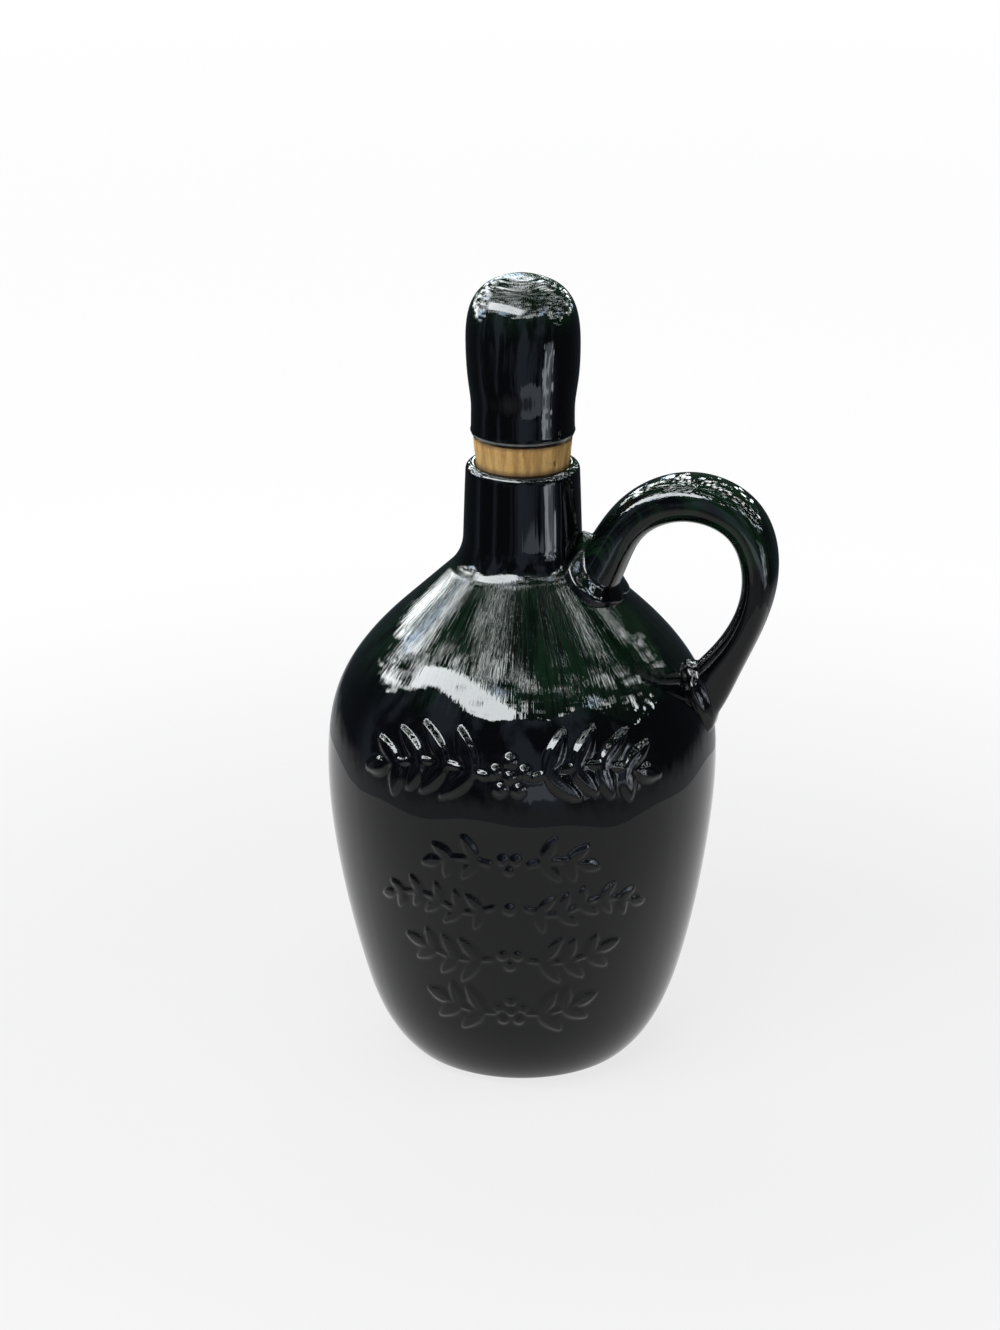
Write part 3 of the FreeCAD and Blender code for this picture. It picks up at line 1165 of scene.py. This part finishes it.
@dataclass
class HandleStrap:
    """The pulled strap, with its two roots pressed on to the jug."""

    surface: Turned
    centre_line: tuple[Point, ...] = (
        (21.4, 156.8),
        (25.2, 164.0),
        (34.3, 179.3),
        (52.3, 187.4),
        (68.8, 180.9),
        (74.5, 163.5),
        (69.4, 143.9),
        (58.9, 126.2),
        (53.2, 117.4),
    )
    sections: tuple[tuple[float, float, float], ...] = (
        (0.00, 8.4, 12.0),
        (0.07, 7.4, 11.2),
        (0.16, 6.6, 10.1),
        (0.36, 7.1, 9.8),
        (0.62, 5.4, 8.8),
        (0.84, 5.9, 7.0),
        (0.93, 7.7, 6.4),
        (1.00, 8.2, 6.6),
    )
    squareness: float = 2.4
    stations: int = 220
    outline_points: int = 64
    root_spread: float = 3.6
    root_reach: float = 2.8
    root_step: float = 0.9
    root_depth: float = 2.5
    root_waves: tuple[Wave, ...] = ((0.22, 3, 1, 0.6), (0.16, 5, 1, 2.2), (0.10, 9, 1, 0.0))
    lower_share: float = 0.6
    nearest_steps: int = 600
    small_step: float = 1e-4
    finish: BlackGlaze = BlackGlaze("handle_glaze", streak_low=158.0, streak_high=230.0, streak_strength=1.1)

    def station(self, index: int) -> Matrix:
        """The matrix that puts the strap's outline at a place on its centre line.

        Args:
            index: Which station it is.

        Returns:
            The matrix.
        """
        share = (1 - math.cos(math.pi * index / (self.stations - 1))) / 2
        here, ahead = self.line.at(np.array([share, share + self.small_step]) * self.line.length)
        if index == self.stations - 1:
            ahead, here = here, self.line.at(np.array([share - self.small_step]) * self.line.length)[0]
        along = Vector((ahead[0] - here[0], 0, ahead[1] - here[1])).normalized()
        side = Vector((0, 1, 0))
        thick, wide = self.sizes.at(np.array([share]))[0]
        matrix = Matrix((along.cross(side) * thick, side * wide, along)).transposed().to_4x4()
        matrix.translation = Vector((here[0], 0, here[1]))
        return matrix

    def sweep(self) -> bmesh.types.BMesh:
        """The strap's plain form, extruded along its centre line.

        Returns:
            The mesh.
        """
        mesh = bmesh.new()
        made = bmesh.ops.create_circle(mesh, cap_ends=False, radius=1.0, segments=self.outline_points)
        for vert in made["verts"]:
            x, y = vert.co.x, vert.co.y
            power = 2 / self.squareness
            vert.co = (math.copysign(abs(x) ** power, x), math.copysign(abs(y) ** power, y), 0)
        edges = list(mesh.edges)
        bmesh.ops.transform(mesh, matrix=self.station(0), verts=mesh.verts)
        bmesh.ops.edgeloop_fill(mesh, edges=edges)
        for index in range(1, self.stations):
            move = self.station(index) @ self.station(index - 1).inverted()
            result = bmesh.ops.extrude_edge_only(mesh, edges=edges)["geom"]
            edges = [item for item in result if isinstance(item, bmesh.types.BMEdge)]
            ring = [item for item in result if isinstance(item, bmesh.types.BMVert)]
            bmesh.ops.transform(mesh, matrix=move, verts=ring)
        bmesh.ops.edgeloop_fill(mesh, edges=edges)
        bmesh.ops.recalc_face_normals(mesh, faces=mesh.faces)
        return mesh

    def press_roots(self, mesh: bmesh.types.BMesh) -> None:
        """Spreads both roots over the jug's wall with an uneven edge, and sinks their ends in it.

        Args:
            mesh: The strap's plain form.
        """
        points = coordinates(mesh)
        places = np.linspace(0, self.line.length, self.nearest_steps)
        centres = np.insert(self.line.at(places), 1, 0, axis=1)
        nearest = np.argmin(((points[:, None] - centres[None]) ** 2).sum(axis=2), axis=1)
        away = points - centres[nearest]
        gap, normal = self.surface.measure(points)
        away -= (away * normal).sum(axis=1)[:, None] * normal
        away /= np.maximum(np.linalg.norm(away, axis=1), TINY)[:, None]
        upper = places[nearest] < self.line.length / 2
        uneven = 1 + ripple(np.arctan2(away[:, 1], away[:, 2]), 0.0, self.root_waves)
        wide = np.where(upper, self.root_spread, self.root_spread * self.lower_share) * uneven
        near = ramp(gap, self.root_step + self.root_reach, self.root_step)
        points = points + away * (wide * near**2 * (3 - 2 * near))[:, None]
        gap, normal = self.surface.measure(points)
        points += normal * np.maximum(-self.root_depth - gap, 0)[:, None]
        place(mesh, points)

    def build(self) -> bpy.types.Object:
        """Builds and dresses the handle.

        Returns:
            The piece.
        """
        self.line = Spline(np.array(self.centre_line))
        sections = np.array(self.sections)
        self.sizes = Spline(sections[:, 1:], places=sections[:, 0])
        mesh = self.sweep()
        self.press_roots(mesh)
        return piece(mesh, "handle_strap", Body.JUG, "handle", "glaze", self.finish)


@dataclass
class StopperHead:
    """The hollow glazed bulb with the cork's socket in its underside."""

    bottom: float = 203.7
    top: float = 253.9
    bottom_radius: float = 15.9
    bottom_round: float = 1.8
    side: tuple[Point, ...] = (
        (17.1, 222.0),
        (17.55, 232.0),
        (17.1, 240.5),
        (15.2, 246.8),
        (11.6, 251.0),
        (6.0, 253.4),
    )
    side_start: Point = (16.1, 212.0)
    bottom_spacing: float = 0.25
    side_spacing: float = 0.8
    steps: int = 23
    wall: float = 5.0
    socket: Point = (11.0, 12.0)
    hollow_from: float = 218.0
    hollow_least_radius: float = 0.5
    hollow_thinning: int = 4
    skin_radius: float = 13.0
    lump: float = 0.14
    lump_waves: tuple[Wave, ...] = ((1.0, 2, 9, 0.0), (0.6, 3, -7, 1.3))
    lump_from: float = 3.0
    lump_fade: float = 8.0
    dome_margin: float = 1.0
    bead: float = 0.22
    bead_height: float = 205.8
    bead_width: float = 0.5
    bead_margin: float = 0.3
    finish: BlackGlaze = BlackGlaze(
        "bulb_glaze",
        streak_low=236.0,
        streak_high=300.0,
        streak_strength=0.5,
        # Painted highlight line round the bulb's lower rim.
        highlight_height=205.2,
    )

    def profile(self) -> np.ndarray:
        """The profile, from the top of the dome round the socket to the top of the hollow.

        Returns:
            Radius and height of its points.
        """
        socket_radius, socket_depth = self.socket
        outline = Outline(socket_radius, self.bottom, self.bottom_spacing)
        outline.rounded((self.bottom_radius, self.bottom), self.side_start, self.bottom_round)
        outline.line(*self.side_start)
        outline.spacing = self.side_spacing
        rise = np.array(self.side_start) - np.array([self.bottom_radius, self.bottom])
        outline.curve([*self.side, (0, self.top)], rise / np.linalg.norm(rise), np.array([-1.0, 0.0]))
        outer = outline.array()
        inner = inset(outer, self.wall)
        hollow = (outer[:, 1] > self.hollow_from) & (inner[:, 0] > self.hollow_least_radius)
        hollow_points = inner[hollow][:: self.hollow_thinning]
        closing = [(socket_radius, self.bottom + socket_depth), *hollow_points, (0, self.top - self.wall)]
        return np.concatenate([outer[::-1], np.array(closing)])

    def build(self) -> bpy.types.Object:
        """Builds and dresses the head.

        Returns:
            The piece.
        """
        mesh = spun(self.profile(), [(360, self.steps)])
        radius, azimuth, height = polar(mesh)
        skin = (radius > self.skin_radius) | (height > self.top - self.wall + self.dome_margin)
        low = self.bottom + self.lump_from
        fade = ramp(height, low, low + self.lump_fade) * ramp(radius, 0, self.lump_fade)
        lumps = (ripple(azimuth, height, self.lump_waves) - 1.0) * fade * self.lump
        bead = self.bead * np.exp(-(((height - self.bead_height) / self.bead_width) ** 2))
        push(mesh, np.where(skin, lumps + bead * (radius > self.bottom_radius - self.bead_margin), 0))
        return piece(mesh, "stopper_bulb", Body.STOPPER, "stopper_head", "glaze", self.finish)


@dataclass
class StopperCork:
    """The tapered cork with its tenon, pitted where it shows."""

    top: float = 203.7
    top_radius: float = 15.3
    bottom_radius: float = 12.4
    bottom_flare: float = 0.06
    length: float = 32.0
    chamfer: float = 0.8
    shown_length: float = 10.0
    top_margin: float = 0.05
    tenon: Point = (10.5, 12.0)
    spacing: float = 3.0
    shown_spacing: float = 0.4
    steps: int = 30
    pits: int = 46
    pit_depth: float = 0.35
    pit_levels: Span = (9.0, 0.5)
    pit_widths: Span = (0.25, 0.55)
    pit_heights: Span = (0.5, 1.6)
    pit_strengths: Span = (0.3, 1.0)
    pit_seed: int = 5
    finish: Cork = Cork()

    def profile(self) -> np.ndarray:
        """The profile from the axis below to the axis on top of the tenon.

        Returns:
            Radius and height of its points.
        """
        bottom = self.top - self.length
        shown = self.top - self.shown_length
        share = (shown - bottom) / self.length
        outline = Outline(0, bottom, self.spacing)
        outline.line(self.bottom_radius - self.chamfer, bottom)
        outline.line(self.bottom_radius + self.bottom_flare, bottom + self.chamfer)
        outline.line(self.bottom_radius + share * (self.top_radius - self.bottom_radius), shown)
        outline.spacing = self.shown_spacing
        outline.line(self.top_radius, self.top)
        outline.spacing = self.spacing
        outline.line(self.tenon[0], self.top)
        outline.line(self.tenon[0], self.top + self.tenon[1])
        outline.line(0, self.top + self.tenon[1])
        return outline.array()

    def build(self) -> bpy.types.Object:
        """Builds and dresses the cork.

        Returns:
            The piece.
        """
        mesh = spun(self.profile(), [(360, self.steps)])
        radius, azimuth, height = polar(mesh)
        random = np.random.default_rng(self.pit_seed)
        depth = np.zeros(len(radius))
        for _ in range(self.pits):
            angle = random.uniform(-math.pi, math.pi)
            level = random.uniform(*(self.top - below for below in self.pit_levels))
            wide, tall = random.uniform(*self.pit_widths), random.uniform(*self.pit_heights)
            near = (wrapped(azimuth - angle) * radius / wide) ** 2 + ((height - level) / tall) ** 2
            depth = np.maximum(depth, np.exp(-near) * random.uniform(*self.pit_strengths))
        shown = (radius > self.bottom_radius) & (height < self.top - self.top_margin)
        shrink = np.where(shown, 1 - depth * self.pit_depth / np.maximum(radius, 1), 1)
        place(mesh, coordinates(mesh) * np.column_stack([shrink, shrink, np.ones(len(radius))]))
        return piece(mesh, "cork_plug", Body.STOPPER, "stopper_cork", "cork", self.finish)


# The studio


def direction(azimuth_deg: float, elevation_deg: float) -> Vector:
    """The unit vector towards an azimuth and an elevation.

    Args:
        azimuth_deg: The azimuth, from the handle's side.
        elevation_deg: The elevation.

    Returns:
        The vector.
    """
    azimuth, elevation = math.radians(azimuth_deg), math.radians(elevation_deg)
    level = math.cos(elevation)
    return Vector((math.cos(azimuth) * level, math.sin(azimuth) * level, math.sin(elevation)))


def facing(azimuth_deg: float, elevation_deg: float, distance: float, roll_deg: float = 0.0) -> Matrix:
    """The matrix of something that hangs round the jug and faces its axis at AIM_HEIGHT.

    Args:
        azimuth_deg: The azimuth that it hangs in.
        elevation_deg: The elevation that it hangs at.
        distance: How far it is from what it faces.
        roll_deg: How far it is rolled about its own direction.

    Returns:
        The matrix.
    """
    out = direction(azimuth_deg, elevation_deg)
    return (
        Matrix.Translation(Vector((0, 0, AIM_HEIGHT)) + out * distance)
        @ out.to_track_quat("Z", "Y").to_matrix().to_4x4()
        @ Matrix.Rotation(math.radians(roll_deg), 4, "Z")
    )


@dataclass
class Lamp:
    """A soft rectangular light that the glaze doesn't mirror."""

    name: str
    azimuth_deg: float
    elevation_deg: float
    distance: float
    width: float
    height: float
    radiance: float

    def build(self) -> bpy.types.Object:
        """Sets the lamp up.

        Returns:
            The lamp.
        """
        data = bpy.data.lights.new(self.name, "AREA")
        data.shape = "RECTANGLE"
        data.size, data.size_y = self.width, self.height
        data.energy = self.radiance * math.pi * self.width * self.height
        made = linked(self.name, data)
        made.matrix_world = facing(self.azimuth_deg, self.elevation_deg, self.distance)
        made.visible_glossy = False
        return made


def staged(mesh: bmesh.types.BMesh, name: str, material: bpy.types.Material) -> bpy.types.Object:
    """Makes a mesh part of the studio.

    Args:
        mesh: The mesh in metres, which is used up.
        name: The object's name.
        material: Its material.

    Returns:
        The object.
    """
    data = bpy.data.meshes.new(name)
    mesh.to_mesh(data)
    mesh.free()
    data.materials.append(material)
    made = linked(name, data)
    return made


@dataclass
class Floor:
    """A plain pale floor, which keeps the jug's shadow and grows whiter away from it, with painted shade near
    the jug and painted light above white further out.
    """

    size: float = 24.0
    matt: Colour = (0.84, 0.84, 0.84)
    near_painted_shade: Colour = (0.92, 0.92, 0.92)
    far_white: Colour = (1.07, 1.07, 1.07)
    end_white: Colour = (1.20, 1.20, 1.20)
    near: float = 0.14
    far: float = 0.50
    end: float = 3.0
    share: float = 0.85

    def build(self) -> bpy.types.Object:
        """Lays the floor.

        Returns:
            The floor.
        """
        shader = Shader("pale_floor")
        x, y, _ = shader.place()
        distance = from_axis(x, y)
        matt = shader.node("ShaderNodeBsdfDiffuse", inputs={0: (*self.matt, 1.0)})
        # Painted shade near the jug and painted light above white further out, for the camera and
        # reflections.
        colour = shader.mixed(shader.rise(distance, self.near, self.far), self.near_painted_shade, self.far_white)
        colour = shader.mixed(shader.rise(distance, self.far, self.end), colour, self.end_white)
        white = shader.node("ShaderNodeEmission", inputs={0: colour, 1: 1.0})
        shader.blend(shader.watched() * self.share, matt, white)
        mesh = bmesh.new()
        bmesh.ops.create_grid(mesh, x_segments=1, y_segments=1, size=self.size / 2)
        return staged(mesh, "floor", shader.material)


@dataclass
class Card:
    """A card round the jug that only its reflections see."""

    name: str

    def show(
        self,
        mesh: bmesh.types.BMesh,
        shader: Shader,
        glow: bpy.types.NodeSocket,
        cut: Value | float = 0.0,
    ) -> None:
        """Puts the card up.

        Args:
            mesh: Its mesh in metres.
            shader: Its material so far.
            glow: The light that reflections see on it.
            cut: Where it is 1 the card is cut away.
        """
        light = shader.node("ShaderNodeEmission", inputs={0: glow, 1: 1.0})
        shader.blend(cut, light, shader.node("ShaderNodeBsdfTransparent"))
        made = staged(mesh, self.name, shader.material)
        for ray in ("camera", "diffuse", "transmission", "volume_scatter", "shadow"):
            setattr(made, f"visible_{ray}", False)


@dataclass
class DarkRing(Card):
    """A low ring of dark card, higher in front, with a glowing strip and a glowing panel at the right, which
    lights nothing and only reflections see.
    """

    name: str = "dark_ring"
    radius: float = 0.30
    segments: int = 192
    waves: tuple[Wave, ...] = ((0.05, 3, 1, 0.4), (0.035, 7, 1, 1.9))
    low_height: float = 0.235
    front_height: float = 0.380
    front_azimuth_deg: float = -91.0
    front_rise: Span = (0.05, 0.55)
    top_ragged: float = 0.045
    top_edge: float = 0.002
    base_rise: Span = (0.075, 0.01)
    base_ragged: float = 0.06
    flecks: Grain = (40.0, 4.0)
    flecks_stretch: float = 0.7
    hanging: Grain = (9.0, 5.0)
    hanging_stretch: float = 0.5
    hanging_rise: Span = (0.46, 0.62)
    hanging_front: Span = (-0.1, 0.5)
    strip_azimuth_deg: float = -25.0
    strip_half_deg: float = 11.0
    strip_edge: float = 0.004
    strip_ragged: float = 0.06
    strip_foot: Span = (0.045, 0.075)
    strip_head: Span = (0.19, 0.17)
    glare_rise: Span = (0.50, 0.58)
    panel_azimuth_deg: float = -58.0
    panel_half_deg: float = 22.0
    panel_edge: float = 0.01
    panel_side_ragged: float = 0.10
    panel_level_ragged: float = 0.04
    panel_foot: Span = (0.055, 0.063)
    panel_head: Span = (0.103, 0.095)
    # Painted reflection: the panel, strip and glare glow though no lamp, and the grey base stands in for the
    # mirrored floor.
    panel: Colour = (1.7, 1.9, 2.2)
    dark: Colour = (0.04, 0.05, 0.06)
    haze: Colour = (0.50, 0.60, 0.78)
    base: Colour = (0.50, 0.52, 0.54)
    pale: Colour = (2.2, 2.5, 2.8)
    glare: Colour = (8.0, 8.6, 9.2)

    def wall(self) -> bmesh.types.BMesh:
        """The ring's mesh, slightly uneven round the turn.

        Returns:
            The mesh in metres.
        """
        mesh = bmesh.new()
        depth = self.front_height + self.top_ragged
        bmesh.ops.create_cone(
            mesh,
            cap_ends=False,
            segments=self.segments,
            radius1=self.radius,
            radius2=self.radius,
            depth=depth,
            matrix=Matrix.Translation((0, 0, depth / 2)),
        )
        for vert in mesh.verts:
            wave = 1 + ripple(math.atan2(vert.co.y, vert.co.x), 0.0, self.waves)
            vert.co.x, vert.co.y = vert.co.x * wave, vert.co.y * wave
        return mesh

    def build(self) -> None:
        """Stands the ring round the jug."""
        shader = Shader("ring_card")
        x, y, z = shader.place()
        away = from_axis(x, y)
        flecks = shader.noise(shader.vector(x, y, z * self.flecks_stretch), *self.flecks)
        hanging = shader.noise(shader.vector(x, y, z * self.hanging_stretch), *self.hanging)
        front = toward(x, y, self.front_azimuth_deg) / away
        hazy = shader.rise(hanging, *self.hanging_rise) * shader.rise(front, *self.hanging_front)
        card = shader.mixed(hazy, self.dark, self.haze)
        based = shader.rise(z + spread(flecks, self.base_ragged), *self.base_rise)
        card = shader.mixed(based, card, self.base)
        half = math.cos(math.radians(self.panel_half_deg))
        side = toward(x, y, self.panel_azimuth_deg) / away + spread(flecks, self.panel_side_ragged)
        level = z + spread(flecks, self.panel_level_ragged)
        panel = shader.rise(side, half - self.panel_edge, half + self.panel_edge)
        panel = panel * shader.rise(level, *self.panel_foot) * shader.rise(level, *self.panel_head)
        card = shader.mixed(panel, card, self.panel)
        half = math.cos(math.radians(self.strip_half_deg))
        side = toward(x, y, self.strip_azimuth_deg) / away + spread(flecks, self.strip_ragged)
        strip = shader.rise(side, half, half + self.strip_edge)
        strip = strip * shader.rise(z, *self.strip_head) * shader.rise(z, *self.strip_foot)
        strip_colour = shader.mixed(shader.rise(flecks, *self.glare_rise), self.pale, self.glare)
        climb = shader.rise(front, *self.front_rise) * (self.front_height - self.low_height)
        over = z - climb - self.low_height + spread(flecks, self.top_ragged)
        cut = shader.rise(over, -self.top_edge, self.top_edge)
        self.show(self.wall(), shader, shader.mixed(strip, card, strip_colour), cut)


@dataclass
class Canopy(Card):
    """A wide dome overhead with dappled light in it, drawn out in streaks from its top."""

    name: str = "dappled_canopy"
    radius: float = 2.2
    subdivisions: int = 5
    centre: float = 0.15
    spots: Grain = (13.0, 4.0)
    spots_stretch: float = 0.8
    spots_share: float = 0.80
    top_radius: float = 0.01
    groups: Grain = (2.6, 1.0)
    groups_share: float = 0.25
    open_azimuth_deg: float = -105.0
    open_rise: Span = (-0.6, 0.6)
    open_gain: float = 0.04
    lit_rise: Span = (0.612, 0.632)
    foot_rise: Span = (0.02, 0.12)
    sky_rise: Span = (0.58, 0.70)
    bright: Colour = (24.7, 26.0, 26.0)
    blue: Colour = (15.6, 20.0, 26.0)
    leaf: Colour = (0.07, 0.14, 0.09)
    gap_rise: Span = (0.82, 0.97)
    gaps: tuple[tuple[float, float, float], ...] = (
        (95.0, 64.0, 0.04),
        (152.0, 24.0, 0.06),
        (14.0, 40.0, 0.03),
        (-140.0, 64.0, 0.02),
        (-40.0, 72.0, -0.045),
    )

    def dome(self) -> bmesh.types.BMesh:
        """The upper half of a ball.

        Returns:
            The mesh in metres.
        """
        mesh = bmesh.new()
        middle = Vector((0, 0, self.centre))
        matrix = Matrix.Translation(middle)
        bmesh.ops.create_icosphere(mesh, subdivisions=self.subdivisions, radius=self.radius, matrix=matrix)
        everything = [*mesh.verts, *mesh.edges, *mesh.faces]
        bmesh.ops.bisect_plane(mesh, geom=everything, plane_co=middle, plane_no=(0, 0, -1), clear_outer=True)
        return mesh

    def build(self) -> None:
        """Hangs the dome, with more light where a gap's gain is above 0 and less where it is below."""
        shader = Shader("canopy_card")
        x, y, z = shader.place()
        height = (z - self.centre) / self.radius
        away = from_axis(x, y).math("MAXIMUM", self.top_radius)
        spots = shader.noise(shader.vector(x / away, y / away, height * self.spots_stretch), *self.spots)
        groups = shader.noise(shader.vector(x / self.radius, y / self.radius, height), *self.groups)
        open_side = shader.rise(toward(x, y, self.open_azimuth_deg) / self.radius, *self.open_rise)
        amount = spots * self.spots_share + groups * self.groups_share + open_side * self.open_gain
        for azimuth_deg, elevation_deg, gain in self.gaps:
            out = direction(azimuth_deg, elevation_deg)
            near = (x * out.x + y * out.y) / self.radius + height * out.z
            amount = amount + shader.rise(near, *self.gap_rise) * gain
        lit = shader.rise(amount, *self.lit_rise) * shader.rise(height, *self.foot_rise)
        sky = shader.mixed(shader.rise(groups, *self.sky_rise), self.bright, self.blue)
        self.show(self.dome(), shader, shader.mixed(lit, self.leaf, sky))


@dataclass
class WindowCard(Card):
    """A long glowing card at the front left that lights nothing, whose reflection lies on the shoulder as the
    bright patch.
    """

    name: str = "window_card"
    azimuth_deg: float = -132.0
    elevation_deg: float = 46.5
    distance: float = 1.0
    width: float = 1.36
    height: float = 0.29
    roll_deg: float = 9.0
    clouds: Grain = (7.0, 3.0)
    lit_rise: Span = (0.22, 0.42)
    bright: Colour = (30.4, 32.0, 32.6)
    dim: Colour = (2.8, 3.0, 3.1)

    def build(self) -> None:
        """Hangs the card."""
        matrix = facing(self.azimuth_deg, self.elevation_deg, self.distance, self.roll_deg)
        matrix = matrix @ Matrix.Diagonal((self.width / 2, self.height / 2, 1, 1))
        mesh = bmesh.new()
        bmesh.ops.create_grid(mesh, x_segments=1, y_segments=1, size=1.0, matrix=matrix)
        shader = Shader("window_card")
        clouds = shader.noise(shader.vector(*shader.place()), *self.clouds)
        self.show(mesh, shader, shader.mixed(shader.rise(clouds, *self.lit_rise), self.dim, self.bright))


@dataclass
class Studio:
    """The floor, the soft lights, the cards that the glaze mirrors, and the camera."""

    world_level: float = 0.16
    world_tint: Colour = (0.95, 1.0, 1.02)
    backdrop: Colour = (1.0, 1.0, 1.0)
    camera_place: tuple[float, float, float] = (0.2135, -1.0045, 0.5247)
    camera_turn_deg: tuple[float, float, float] = (68.88, 0.0, 12.39)
    lens_mm: float = 94.74
    sensor_mm: float = 36.0
    lamps: tuple[Lamp, ...] = (
        Lamp("key_softbox", -114, 51, 1.10, 0.88, 0.30, 9.0),
        Lamp("top_softbox", -40, 72, 1.40, 0.80, 0.50, 4.0),
        Lamp("back_softbox", 110, 58, 1.40, 0.90, 0.50, 3.0),
    )

    def world(self) -> None:
        """Fills the room with an even, dim light, and stands a white backdrop beyond the floor."""
        world = bpy.data.worlds.new("room")
        bpy.context.scene.world = world
        shader = Shader("room", world)
        dim = shader.node("ShaderNodeBackground", inputs={0: (*self.world_tint, 1.0), 1: self.world_level})
        white = shader.node("ShaderNodeBackground", inputs={0: (*self.backdrop, 1.0), 1: 1.0})
        shader.blend(shader.watched(), dim, white, "ShaderNodeOutputWorld")

    def camera(self) -> None:
        """Stands the camera at the photograph's angle."""
        data = bpy.data.cameras.new("camera")
        data.lens = self.lens_mm
        data.sensor_width = self.sensor_mm
        made = linked("camera", data)
        made.location = self.camera_place
        made.rotation_euler = [math.radians(angle) for angle in self.camera_turn_deg]
        bpy.context.scene.camera = made

    def build(self) -> None:
        """Sets the studio up."""
        for part in (Floor(), DarkRing(), Canopy(), WindowCard(), *self.lamps):
            part.build()
        self.world()
        self.camera()
        bpy.context.scene.view_settings.view_transform = "Standard"
        log.info("studio: %d lamps", len(self.lamps))


def dress_hidden(frame: dict[str, object]) -> None:
    """Gives the hidden adhesive its material.

    Args:
        frame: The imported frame.
    """
    sleeve = frame["nodes"]["stopper_glue"]
    sleeve.data.materials.clear()
    sleeve.data.materials.append(SetAdhesive().build())
    log.info("stopper_glue: dressed")


def main() -> None:
    """Builds every piece on the frame, then the studio."""
    logging.basicConfig(level=logging.INFO, format="%(name)s %(message)s")
    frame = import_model()
    garlands = Garlands()
    garlands.model()
    jug = JugWall()
    jug.build(garlands)
    HandleStrap(jug.surface).build()
    StopperHead().build()
    StopperCork().build()
    dress_hidden(frame)
    Studio().build()


if __name__ == "__main__":
    main()
